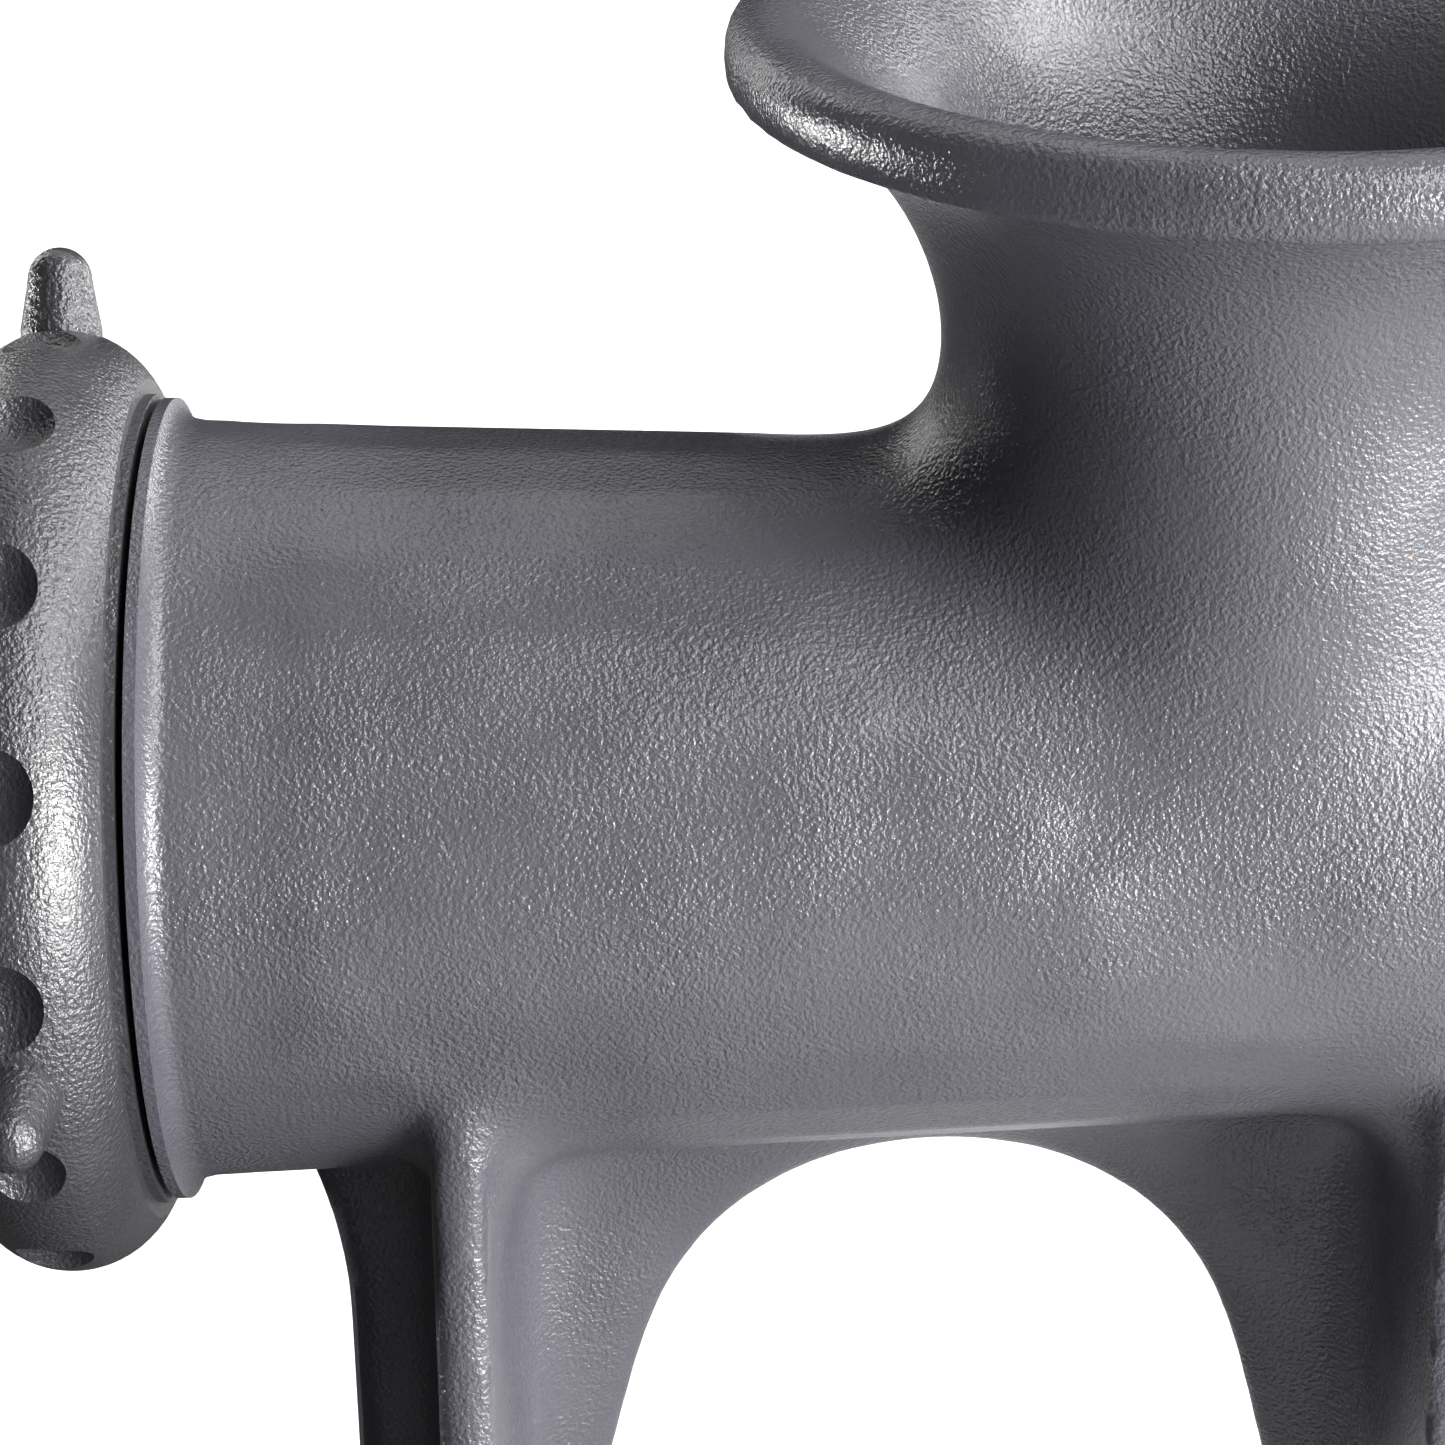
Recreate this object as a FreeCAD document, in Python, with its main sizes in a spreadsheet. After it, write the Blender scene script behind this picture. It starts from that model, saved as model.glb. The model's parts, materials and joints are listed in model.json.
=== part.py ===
"""Bolt-down hand crank meat grinder, in millimetres.

X runs along the barrel from the outlet (-X) to the crank (+X), Z is up, and the
origin is the middle of the four foot bolts on the plane that the feet stand on.
"""
import FreeCAD, Part
import math
import os
import re

import Sketcher

SIZES = {
    # Stance
    "axis_height": 150.0,
    "leg_spacing": 103.0,
    "foot_spread": 124.0,
    "foot_radius": 13.0,
    "foot_thickness": 9.0,
    "foot_hole": 9.0,
    # Barrel casting
    "outlet_overhang": 30.5,
    "rear_overhang": 26.5,
    "barrel_step": 1.4,
    "barrel_rear_radius": 34.9,
    "cast_wall": 5.6,
    "rear_wall": 6.0,
    "rear_round": 8.5,
    "collar_step": 2.4,
    "collar_width": 1.2,
    "collar_flare": 2.8,
    "boss_radius": 19.0,
    "boss_length": 28.0,
    "boss_fillet": 6.0,
    "nose_length": 12.5,
    "nose_wall": 3.7,
    "thread_pitch": 3.0,
    "thread_depth": 1.1,
    # Hopper
    "hopper_setback": 31.8,
    "neck_radius": 32.5,
    "neck_height": 48.0,
    "flare_radius": 34.0,
    "flare_height": 28.2,
    "rim_radius": 54.5,
    "rim_height": 8.4,
    "rim_round": 4.0,
    "rim_under_round": 2.2,
    "rim_cove": 3.0,
    "neck_blend": 9.0,
    # Legs
    "rib_thickness": 6.0,
    "web_thickness": 8.0,
    "leg_drop": 16.0,
    "leg_lap": 3.0,
    "leg_sink": 0.5,
    "frame_arch_lean": 10.0,
    "frame_arch_height": 40.0,
    "frame_arch_radius": 27.0,
    "arch_radius": 32.0,
    "arch_crown": 45.3,
    "web_taper": 14.0,
    "web_ledge": 4.4,
    "wing_reach": 15.0,
    "wing_drop": 64.0,
    "wing_curve": 60.0,
    "leg_blend": 5.0,
    "leg_root": 4.0,
    "edge_round": 2.0,
    "foot_round": 1.5,
    "foot_ledge": 1.1,
    # Ring nut
    "ring_stand": 7.4,
    "ring_bulge": 10.3,
    "ring_gap": 0.8,
    "ring_land": 1.0,
    "ring_lip": 5.0,
    "ring_cover": 3.9,
    "lug_base_radius": 4.3,
    "lug_tip_radius": 3.4,
    "lug_length": 8.6,
    "lug_count": 3,
    "lug_turn": 100.0,
    "dimples_per_lug": 5,
    "dimple_radius": 6.5,
    "dimple_depth": 2.2,
    "dimple_forward": 0.6,
    # Cutting set
    "plate_diameter": 69.8,
    "plate_thickness": 8.0,
    "plate_proud": 3.0,
    "plate_hole": 6.4,
    "plate_hole_start": 12.6,
    "plate_hole_gap": 7.2,
    "plate_hole_rings": 3,
    "key_radius": 2.2,
    "knife_thickness": 9.0,
    "knife_hub_radius": 12.0,
    "knife_margin": 1.3,
    "knife_width": 10.0,
    "knife_bevel": 4.0,
    "stud_square": 11.0,
    "stud_radius": 5.5,
    "stud_thread_radius": 5.0,
    "stud_depth": 18.0,
    # Auger
    "auger_front_core": 12.0,
    "auger_rear_core": 16.0,
    "flight_pitch": 36.0,
    "flight_thickness": 5.0,
    "shank_radius": 10.0,
    "shank_square": 14.0,
    "bush_wall": 3.0,
    "thrust_thickness": 2.5,
    "thrust_radius": 17.0,
    # Crank
    "crank_throw": 200.0,
    "hub_radius": 17.0,
    "hub_length": 16.4,
    "hub_overhang": 1.0,
    "arm_thickness": 9.0,
    "arm_root_width": 26.0,
    "arm_tip_radius": 11.0,
    "arm_offset": 13.0,
    "arm_bend_start": 48.0,
    "arm_bend_end": 128.0,
    "arm_round": 2.5,
    "clamp_washer_radius": 13.0,
    "clamp_washer_thickness": 2.0,
    "screw_radius": 4.0,
    "screw_depth": 20.0,
    "screw_head_radius": 8.0,
    "screw_head_length": 11.0,
    "wing_span": 21.0,
    "wing_thickness": 4.0,
    # Grip
    "grip_length": 96.0,
    "grip_radius": 15.5,
    "grip_end_radius": 11.5,
    "grip_bolt_radius": 4.0,
    "grip_washer_radius": 9.5,
    "grip_washer_thickness": 1.6,
    "bolt_head_radius": 7.5,
    "bolt_head_height": 4.5,
    "ferrule_length": 10.0,
    "ferrule_wall": 0.8,
    "grip_nut_flats": 13.0,
    "grip_nut_height": 6.5,
    # Clearances
    "running_clearance": 0.06,
    "pocket_clearance": 0.2,
    "face_clearance": 0.1,
    "thread_clearance": 0.3,
    "flight_clearance": 0.6,
    "socket_clearance": 0.15,
}

# Places along the barrel, worked out from the sizes.
COLLAR_X = "(-leg_spacing / 2 - outlet_overhang)"
NOSE_X = f"({COLLAR_X} - nose_length)"
PLATE_FRONT = f"({NOSE_X} - plate_proud)"
PLATE_REAR = f"({PLATE_FRONT} + plate_thickness)"
KNIFE_FRONT = f"({PLATE_REAR} + face_clearance)"
KNIFE_REAR = f"({KNIFE_FRONT} + knife_thickness)"
CHAMBER_REAR = f"({KNIFE_REAR} + 10 * face_clearance)"
RING_INNER = f"({PLATE_FRONT} - face_clearance)"
RING_FRONT = f"({RING_INNER} - ring_lip)"
RING_REAR = f"({COLLAR_X} - ring_gap)"
RING_CENTRE = f"({RING_REAR} - ring_land - 0.88 * ring_bulge)"
BARREL_END = "(leg_spacing / 2 + rear_overhang)"
WALL_INNER = f"({BARREL_END} - rear_wall)"
BOSS_END = f"({BARREL_END} + boss_length)"
SHOULDER = f"({WALL_INNER} - 2 * face_clearance - thrust_thickness)"
HUB_NEAR = f"({BOSS_END} + 5 * face_clearance)"
HUB_FAR = f"({HUB_NEAR} + hub_length)"
SHANK_END = f"({HUB_FAR} - hub_overhang)"
WASHER_FAR = f"({HUB_FAR} + clamp_washer_thickness)"
ARM_NEAR = f"({HUB_FAR} - arm_thickness - hub_overhang)"
TIP_NEAR = f"({ARM_NEAR} + arm_offset)"
TIP_FAR = f"({TIP_NEAR} + arm_thickness)"
GRIP_NEAR = f"({TIP_FAR} + grip_washer_thickness + 3 * face_clearance)"
GRIP_FAR = f"({GRIP_NEAR} + grip_length)"
BOLT_SEAT = f"({GRIP_FAR} + grip_washer_thickness + 3 * face_clearance)"
NUT_NEAR = f"({TIP_NEAR} - grip_washer_thickness - grip_nut_height)"
KEY_LENGTH = f"({PLATE_REAR} - {NOSE_X} - 3 * face_clearance)"

# Radii shared by mating pieces.
POCKET_RADIUS = "(plate_diameter / 2 + pocket_clearance)"
THREAD_RADIUS = f"({POCKET_RADIUS} + nose_wall)"
BARREL_FRONT = f"({THREAD_RADIUS} + barrel_step)"
COLLAR_RADIUS = f"({BARREL_FRONT} + collar_step)"
RING_RADIUS = f"({COLLAR_RADIUS} + ring_stand)"
RING_OPENING = "(plate_diameter / 2 - ring_cover)"
KNIFE_REACH = "(plate_diameter / 2 - knife_margin)"
BORE_FRONT = f"({BARREL_FRONT} - cast_wall)"
BORE_REAR = "(barrel_rear_radius - cast_wall)"
BUSH_RADIUS = "(shank_radius + running_clearance + bush_wall)"
RING_BORE = f"({THREAD_RADIUS} + thread_clearance)"

# Heights of the hopper above the barrel's axis and of the grip above the bench.
HOPPER_TOP = "(neck_height + flare_height + rim_height)"
GRIP_HEIGHT = "axis_height + crank_throw"

doc = FreeCAD.newDocument("meat_grinder")
sheet = doc.addObject("Spreadsheet::Sheet", "sizes")
for row, (alias, size) in enumerate(SIZES.items(), 1):
    sheet.set(f"A{row}", alias)
    sheet.set(f"B{row}", str(size))
    sheet.setAlias(f"B{row}", alias)
doc.recompute()

pieces = []
ALIAS = re.compile(r"\b(" + "|".join(SIZES) + r")\b")


def bound(text):
    """An expression on the sheet's cells, from one that uses their bare names."""
    return ALIAS.sub(r"sizes.\1", text)


def number(text):
    """The present value of an expression on the sheet's cells."""
    return float(sheet.evalExpression(bound(text)))


def new_body(label, height="axis_height"):
    """An empty body whose own X axis lies at the given height."""
    body = doc.addObject("PartDesign::Body", label)
    body.Label = label
    body.setExpression("Placement.Base.z", bound(height))
    pieces.append(body)
    return body


def plane_of(body, role):
    """The body's own origin plane or axis with this role."""
    return next(item for item in body.Origin.OriginFeatures if item.Role == role)


def new_sketch(body, role, shift=("0", "0", "0")):
    """A sketch on an origin plane, moved by the shift in the plane's own axes."""
    sketch = body.newObject("Sketcher::SketchObject", "sketch")
    sketch.AttachmentSupport = [(plane_of(body, role), "")]
    sketch.MapMode = "FlatFace"
    for axis, text in zip("xyz", shift):
        sketch.setExpression(f"AttachmentOffset.Base.{axis}", bound(text))
    return sketch


def hold(sketch, kind, geometry, position, text):
    """Dimension a point, or a radius when position is None, from the sheet."""
    if position is None:
        constraint = Sketcher.Constraint(kind, geometry, number(text))
    else:
        constraint = Sketcher.Constraint(kind, geometry, position, number(text))
    index = sketch.addConstraint(constraint)
    sketch.setExpression(f"Constraints[{index}]", bound(text))


def outline(sketch, corners):
    """Draw a closed outline in the sketch.

    A corner is (x, y) for a line to that point, or (x, y, radius, side) for an arc
    to it whose centre lies to the left (1) or right (-1) of the way there.
    """
    points = [FreeCAD.Vector(number(c[0]), number(c[1]), 0) for c in corners]
    ends = []
    for index, corner in enumerate(corners):
        start, end = points[index - 1], points[index]
        if len(corner) == 2:
            geometry = sketch.addGeometry(Part.LineSegment(start, end))
            ends.append((geometry, 1, 2))
            continue
        radius, side = number(corner[2]), corner[3]
        chord = end - start
        left = FreeCAD.Vector(-chord.y, chord.x, 0).normalize()
        reach = math.sqrt(max(radius**2 - chord.Length**2 / 4, 0))
        middle = (start + end) / 2 + left * side * (reach - radius)
        if side > 0:
            arc = Part.Arc(start, middle, end)
            ends_of_arc = (1, 2)
        else:
            arc = Part.Arc(end, middle, start)
            ends_of_arc = (2, 1)
        geometry = sketch.addGeometry(arc)
        ends.append((geometry, *ends_of_arc))
    for index, (geometry, first, last) in enumerate(ends):
        following, begin, _ = ends[(index + 1) % len(ends)]
        sketch.addConstraint(Sketcher.Constraint("Coincident", geometry, last, following, begin))
        hold(sketch, "DistanceX", geometry, last, corners[index][0])
        hold(sketch, "DistanceY", geometry, last, corners[index][1])
        if len(corners[index]) > 2:
            hold(sketch, "Radius", geometry, None, corners[index][2])
    return sketch


def disc(sketch, across, along, radius):
    """Draw one circle in the sketch."""
    centre = FreeCAD.Vector(number(across), number(along), 0)
    circle = Part.Circle(centre, FreeCAD.Vector(0, 0, 1), number(radius))
    geometry = sketch.addGeometry(circle)
    hold(sketch, "DistanceX", geometry, 3, across)
    hold(sketch, "DistanceY", geometry, 3, along)
    hold(sketch, "Radius", geometry, None, radius)
    return sketch


def turned(body, sketch, kind="Revolution", axis="H_Axis"):
    """Turn a sketch round one of its axes, adding or cutting."""
    feature = body.newObject(f"PartDesign::{kind}", kind.lower())
    feature.Profile = sketch
    feature.ReferenceAxis = (sketch, [axis])
    feature.Angle = 360
    body.Tip = feature
    return feature


def padded(body, sketch, length, middle=False, kind="Pad"):
    """Pad or pocket a sketch by a length, to one side or about its plane."""
    feature = body.newObject(f"PartDesign::{kind}", kind.lower())
    feature.Profile = sketch
    feature.setExpression("Length", bound(length))
    feature.Midplane = middle
    body.Tip = feature
    return feature


def repeated(body, feature, axis, count):
    """Repeat a feature round an axis, evenly over a full turn."""
    pattern = body.newObject("PartDesign::PolarPattern", "pattern")
    pattern.Originals = [feature]
    pattern.Axis = axis
    pattern.Angle = 360
    pattern.setExpression("Occurrences", bound(count))
    body.Tip = pattern
    return pattern


def rounded(body, radius, choose, kind="Fillet"):
    """Fillet or chamfer the edges of the tip that the test chooses."""
    doc.recompute()
    base = body.Tip
    shape = base.Shape
    names = [f"Edge{n}" for n, edge in enumerate(shape.Edges, 1) if choose(edge)]
    feature = body.newObject(f"PartDesign::{kind}", kind.lower())
    feature.Base = (base, names)
    feature.setExpression("Radius" if kind == "Fillet" else "Size", bound(radius))
    body.Tip = feature
    doc.recompute()
    return feature


def corner_kind(shape, edge):
    """1 where two faces meet in an inside corner, -1 in an outside one, 0 if smooth."""
    faces = shape.ancestorsOfType(edge, Part.Face)
    if len(faces) != 2:
        return 0
    first, last = edge.ParameterRange
    middle = edge.valueAt((first + last) / 2)
    normals = [face.normalAt(*face.Surface.parameter(middle)) for face in faces]
    apart = normals[0] - normals[1]
    if apart.Length < 0.1:
        return 0
    return 1 if shape.isInside(middle + apart * 0.05, 1e-4, True) else -1


def arch(crown, radius, lean, foot):
    """Corners of an arch under a crown, with straight sides that lean outwards."""
    side = f"({radius} * cos({lean}))"
    spring = f"({crown} - {radius} * (1 - sin({lean})))"
    spread = f"({side} + ({spring} - {foot}) * tan({lean}))"
    return [
        (f"-{spread}", foot),
        (f"-{side}", spring),
        (side, spring, radius, -1),
        (spread, foot),
    ]


def barrel_radius_at(place):
    """Outer radius of the tapered barrel at a place along it."""
    start = f"({COLLAR_X} + collar_width + collar_flare)"
    end = f"({BARREL_END} - rear_round)"
    slope = f"(barrel_rear_radius - {BARREL_FRONT}) / ({end} - {start})"
    return f"({BARREL_FRONT} + {slope} * ({place} - {start}))"


def cast_barrel(body):
    """Threaded nose, collar, tapered barrel, rounded rear end and bearing boss."""
    flare = "((collar_flare^2 + collar_step^2) / (2 * collar_step))"
    sketch = outline(new_sketch(body, "XZ_Plane"), [
        (NOSE_X, "0"),
        (NOSE_X, THREAD_RADIUS),
        (COLLAR_X, THREAD_RADIUS),
        (COLLAR_X, COLLAR_RADIUS),
        (f"{COLLAR_X} + collar_width", COLLAR_RADIUS),
        (f"{COLLAR_X} + collar_width + collar_flare", BARREL_FRONT, flare, 1),
        (f"{BARREL_END} - rear_round", "barrel_rear_radius"),
        (BARREL_END, "barrel_rear_radius - rear_round", "rear_round", -1),
        (BARREL_END, "boss_radius + boss_fillet"),
        (f"{BARREL_END} + boss_fillet", "boss_radius", "boss_fillet", 1),
        (BOSS_END, "boss_radius"),
        (BOSS_END, "0"),
    ])
    turned(body, sketch)


def cast_hopper(body):
    """Round neck that flares to a rolled rim, blended into the barrel."""
    flare_end = "(neck_radius + flare_radius - sqrt(flare_radius^2 - flare_height^2))"
    sketch = new_sketch(body, "XZ_Plane", ("hopper_setback", "0", "0"))
    outline(sketch, [
        ("0", "0"),
        ("neck_radius", "0"),
        ("neck_radius", "neck_height"),
        (flare_end, "neck_height + flare_height", "flare_radius", -1),
        ("rim_radius", "neck_height + flare_height + 0.2 * rim_round"),
        ("rim_radius", f"{HOPPER_TOP} - rim_round"),
        ("rim_radius - rim_round", HOPPER_TOP, "rim_round", 1),
        ("0", HOPPER_TOP),
    ])
    turned(body, sketch, axis="V_Axis")
    centre, neck = number("hopper_setback"), number("neck_radius")

    def on_neck_root(edge):
        first, last = edge.ParameterRange
        spots = [edge.valueAt(first + (last - first) * k / 4) for k in range(5)]
        on_neck = all(abs(math.hypot(v.x - centre, v.y) - neck) < 0.01 for v in spots)
        return on_neck and edge.BoundBox.ZLength > 1 and edge.BoundBox.XLength > 1

    rounded(body, "neck_blend", on_neck_root)
    lip_height = number("neck_height + flare_height + 0.2 * rim_round")
    lip_root = number(flare_end)

    def level_circle(edge, radius, height):
        box = edge.BoundBox
        level = box.ZLength < 0.01 and abs(box.ZMin - height) < 0.01
        return level and abs(box.YMax - radius) < 0.01

    shelf = f"(rim_radius - {flare_end})"
    under_round = f"min(rim_under_round; 0.4 * {shelf})"
    rounded(body, under_round, lambda edge: level_circle(edge, number("rim_radius"), lip_height))
    cove_height = number("neck_height + flare_height")
    cove = f"min(rim_cove; 0.5 * {shelf})"
    rounded(body, cove, lambda edge: level_circle(edge, lip_root, cove_height))


def cast_legs(body):
    """Lengthwise web with its arch, two cross frames and four bolt-down feet."""
    base = "(-axis_height)"
    frame_crown = f"({base} + frame_arch_height)"
    web_foot = f"({frame_crown} + web_thickness)"
    web_end = f"({web_foot} + web_taper)"
    web_corner = "(leg_spacing / 2 - rib_thickness / 2 - leg_blend - web_ledge)"
    # The sides of the arch run straight from the corners of the web and meet its crown without a kink.
    drop = f"(-arch_crown - arch_radius - {web_foot})"
    arch_lean = f"(acos(arch_radius / sqrt({web_corner}^2 + {drop}^2)) - atan({drop} / {web_corner}))"
    web_half = "(rib_thickness / 2 + leg_blend + edge_round)"
    wing = "(leg_spacing / 2 + wing_reach)"
    wing_top = f"(-{BORE_FRONT})"
    hollow = f"sqrt(wing_curve^2 - (wing_drop + {wing_top})^2)"
    wing_tip = f"(-{wing} - wing_curve + {hollow})"
    inside = "(-barrel_rear_radius / 2)"
    web = outline(new_sketch(body, "XZ_Plane"), [
        (wing_tip, inside),
        (wing_tip, wing_top),
        (f"-{wing}", "-wing_drop", "wing_curve", -1),
        (f"-{wing}", web_end),
        (f"-leg_spacing / 2 - {web_half}", web_foot),
        *arch("(-arch_crown)", "arch_radius", arch_lean, web_foot),
        (f"leg_spacing / 2 + {web_half}", web_foot),
        (wing, web_end),
        (wing, inside),
    ])
    padded(body, web, "web_thickness", middle=True)
    heel = "(foot_spread / 2 - foot_radius + leg_lap)"
    sole = f"({base} + foot_thickness / 2)"
    for place in ("(-leg_spacing / 2)", "(leg_spacing / 2)"):
        shoulder = f"(sqrt({barrel_radius_at(place)}^2 - leg_drop^2) - leg_sink)"
        frame = new_sketch(body, "YZ_Plane", ("0", "0", place))
        outline(frame, [
            (f"-{shoulder}", "-leg_drop"),
            (f"-{heel}", sole),
            *arch(frame_crown, "frame_arch_radius", "frame_arch_lean", sole),
            (heel, sole),
            (shoulder, "-leg_drop"),
        ])
        padded(body, frame, "rib_thickness", middle=True)
    for x_sign in (-1, 1):
        for y_sign in (-1, 1):
            cast_foot(body, x_sign, y_sign)
    soften_legs(body)


def soften_legs(body):
    """Blend the web into the frames and round the outer edges of both."""
    doc.recompute()
    shape = body.Tip.Shape

    def web_meets_frame(edge):
        box = edge.BoundBox
        upright = box.XLength < 0.01 and box.YLength < 0.01 and box.ZLength > 1
        on_web = abs(abs(box.YMin) - number("web_thickness / 2")) < 0.01
        return upright and on_web and corner_kind(shape, edge) > 0

    rounded(body, "leg_blend", web_meets_frame)
    blended = body.Tip.Shape
    foot_top = number("foot_thickness - axis_height")
    web_end = number("frame_arch_height + web_thickness + web_taper - axis_height")

    def outer_edge(edge):
        box = edge.BoundBox
        lengthwise = box.YLength < 0.01 and abs(abs(box.YMin) - number("web_thickness / 2")) < 0.01
        across = box.XLength < 0.01 and abs(
            abs(abs(box.XMin) - number("leg_spacing / 2")) - number("rib_thickness / 2")
        ) < 0.01
        in_arch = max(abs(box.XMin), abs(box.XMax)) < number("leg_spacing / 2")
        lowest = web_end if lengthwise and not in_arch else foot_top
        in_leg = box.ZLength > 2 and box.ZMin > lowest - 0.01
        return in_leg and (lengthwise or across) and corner_kind(blended, edge) < 0

    rounded(body, "edge_round", outer_edge)
    softened = body.Tip.Shape

    def foot_rim(edge):
        box = edge.BoundBox
        level = box.ZLength < 0.01 and abs(box.ZMin - foot_top) < 0.01
        return level and corner_kind(softened, edge) < 0

    rounded(body, "foot_round", foot_rim)


def cast_foot(body, x_sign, y_sign):
    """One foot: a round-ended pad that runs out from the end of a leg."""
    turn = x_sign * y_sign
    toe = f"({y_sign} * foot_spread / 2)"
    rise = "(frame_arch_height - frame_arch_radius * (1 - sin(frame_arch_lean)) - foot_thickness)"
    side = f"(frame_arch_radius * cos(frame_arch_lean) + {rise} * tan(frame_arch_lean))"
    heel = f"({y_sign} * ({side} - foot_ledge))"
    near = f"({x_sign} * (leg_spacing / 2 - foot_radius))"
    far = f"({x_sign} * (leg_spacing / 2 + foot_radius))"
    middle = f"({x_sign} * leg_spacing / 2)"
    foot = new_sketch(body, "XY_Plane", ("0", "0", "-axis_height"))
    outline(foot, [
        (near, heel),
        (far, heel),
        (far, toe),
        (middle, f"{toe} + {y_sign} * foot_radius", "foot_radius", turn),
        (near, toe, "foot_radius", turn),
    ])
    padded(body, foot, "foot_thickness")


def hollow_casting(body):
    """Plate pocket, tapered bore, bush seat, hopper throat and bolt holes."""
    bore = outline(new_sketch(body, "XZ_Plane"), [
        (NOSE_X, "0"),
        (NOSE_X, POCKET_RADIUS),
        (CHAMBER_REAR, POCKET_RADIUS),
        (CHAMBER_REAR, BORE_FRONT),
        (WALL_INNER, BORE_REAR),
        (WALL_INNER, BUSH_RADIUS),
        (BOSS_END, BUSH_RADIUS),
        (BOSS_END, "0"),
    ])
    turned(body, bore, "Groove")
    # The crown of the rim and the flare inside the hopper meet without a crease.
    across = "(neck_radius + flare_radius - rim_radius + rim_round)"
    above = "(flare_height + rim_height - rim_round)"
    reach = f"sqrt({across}^2 + {above}^2)"
    inner = f"({reach} + rim_round)"
    throat = new_sketch(body, "XZ_Plane", ("hopper_setback", "0", "0"))
    throat_radius = f"(neck_radius + flare_radius - {inner})"
    outline(throat, [
        ("0", "0"),
        (throat_radius, "0"),
        (throat_radius, "neck_height"),
        (
            f"neck_radius + flare_radius - {inner} * {across} / {reach}",
            f"neck_height + {inner} * {above} / {reach}",
            inner,
            -1,
        ),
        ("rim_radius - rim_round", HOPPER_TOP, "rim_round", -1),
        ("0", HOPPER_TOP),
    ])
    turned(body, throat, "Groove", "V_Axis")
    holes = new_sketch(body, "XY_Plane", ("0", "0", "-axis_height"))
    for x_sign in (-1, 1):
        for y_sign in (-1, 1):
            disc(holes, f"{x_sign} * leg_spacing / 2", f"{y_sign} * foot_spread / 2", "foot_hole / 2")
    padded(body, holes, "4 * foot_thickness", middle=True, kind="Pocket")
    key_seat = disc(new_sketch(body, "YZ_Plane", ("0", "0", NOSE_X)), "0", POCKET_RADIUS, "key_radius")
    padded(body, key_seat, f"2 * {KEY_LENGTH}", middle=True, kind="Pocket")


def thread_grooves(body, start, radius, depth):
    """Ring-shaped V grooves at the thread's pitch, cut to a depth from a radius."""
    count = int(number("nose_length / thread_pitch"))
    sketch = new_sketch(body, "XZ_Plane")
    for turn in range(count):
        outline(sketch, [
            (f"{start} + ({turn} + 0.2) * thread_pitch", radius),
            (f"{start} + ({turn} + 0.6) * thread_pitch", f"{radius} + {depth}"),
            (f"{start} + ({turn} + 1) * thread_pitch", radius),
        ])
    turned(body, sketch, "Groove")


def body_casting():
    """The one-piece casting: feet, legs, barrel and hopper."""
    body = new_body("body_casting")
    cast_legs(body)
    cast_barrel(body)
    cast_hopper(body)
    doc.recompute()
    shape = body.Tip.Shape
    lowest = number(f"-{BARREL_FRONT} - 2 * leg_root")

    def leg_meets_barrel(edge):
        box = edge.BoundBox
        under = lowest < box.ZMin and box.ZMax < number("-leg_drop + leg_root")
        return under and corner_kind(shape, edge) > 0

    rounded(body, "leg_root", leg_meets_barrel)
    hollow_casting(body)
    thread_grooves(body, NOSE_X, THREAD_RADIUS, "(-thread_depth)")


def ring_piece(label, near, far, inner, outer, height="axis_height"):
    """A plain turned ring between two places on its axis."""
    body = new_body(label, height)
    sketch = outline(new_sketch(body, "XZ_Plane"), [
        (near, inner),
        (near, outer),
        (far, outer),
        (far, inner),
    ])
    turned(body, sketch)
    return body


def plate_key():
    """Pin, half sunk in the mouth of the barrel, that stops the plate turning."""
    pin = doc.addObject("Part::Cylinder", "plate_key")
    pin.Label = "plate_key"
    pin.setExpression("Radius", bound("key_radius"))
    pin.setExpression("Height", bound(KEY_LENGTH))
    pin.Placement.Rotation = FreeCAD.Rotation(FreeCAD.Vector(0, 1, 0), 90)
    pin.setExpression("Placement.Base.x", bound(NOSE_X))
    pin.setExpression("Placement.Base.z", bound(f"axis_height + {POCKET_RADIUS}"))
    pieces.append(pin)


def ring_nut():
    """Ring that clamps the plate: bulged rim, finger dimples and grip lugs."""
    body = new_body("ring_nut")
    body.Placement.Rotation = FreeCAD.Rotation(FreeCAD.Vector(1, 0, 0), 1)
    turn = "(lug_turn - 180 / (lug_count * dimples_per_lug))"
    body.setExpression("Placement.Rotation.Angle", bound(turn))
    middle = f"({RING_RADIUS} - ring_bulge)"
    front = f"({middle} + sqrt(ring_bulge^2 - ({RING_CENTRE} - {RING_FRONT})^2))"
    rear_x = f"({RING_REAR} - ring_land)"
    rear = f"({middle} + sqrt(ring_bulge^2 - ({rear_x} - {RING_CENTRE})^2))"
    land = f"({COLLAR_RADIUS} + 0.5 * ring_gap)"
    thread_end = f"({NOSE_X} - 5 * face_clearance)"
    recess = f"({POCKET_RADIUS} + pocket_clearance)"
    profile = outline(new_sketch(body, "XZ_Plane"), [
        (RING_FRONT, RING_OPENING),
        (RING_FRONT, front),
        (rear_x, rear, "ring_bulge", -1),
        (rear_x, land),
        (RING_REAR, land),
        (RING_REAR, RING_BORE),
        (thread_end, RING_BORE),
        (thread_end, recess),
        (RING_INNER, recess),
        (RING_INNER, RING_OPENING),
    ])
    turned(body, profile)
    ring_dimples(body, middle)
    ring_lugs(body)
    thread_grooves(body, f"({NOSE_X} - 0.3 * thread_pitch)", RING_BORE, "thread_depth")


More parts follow.
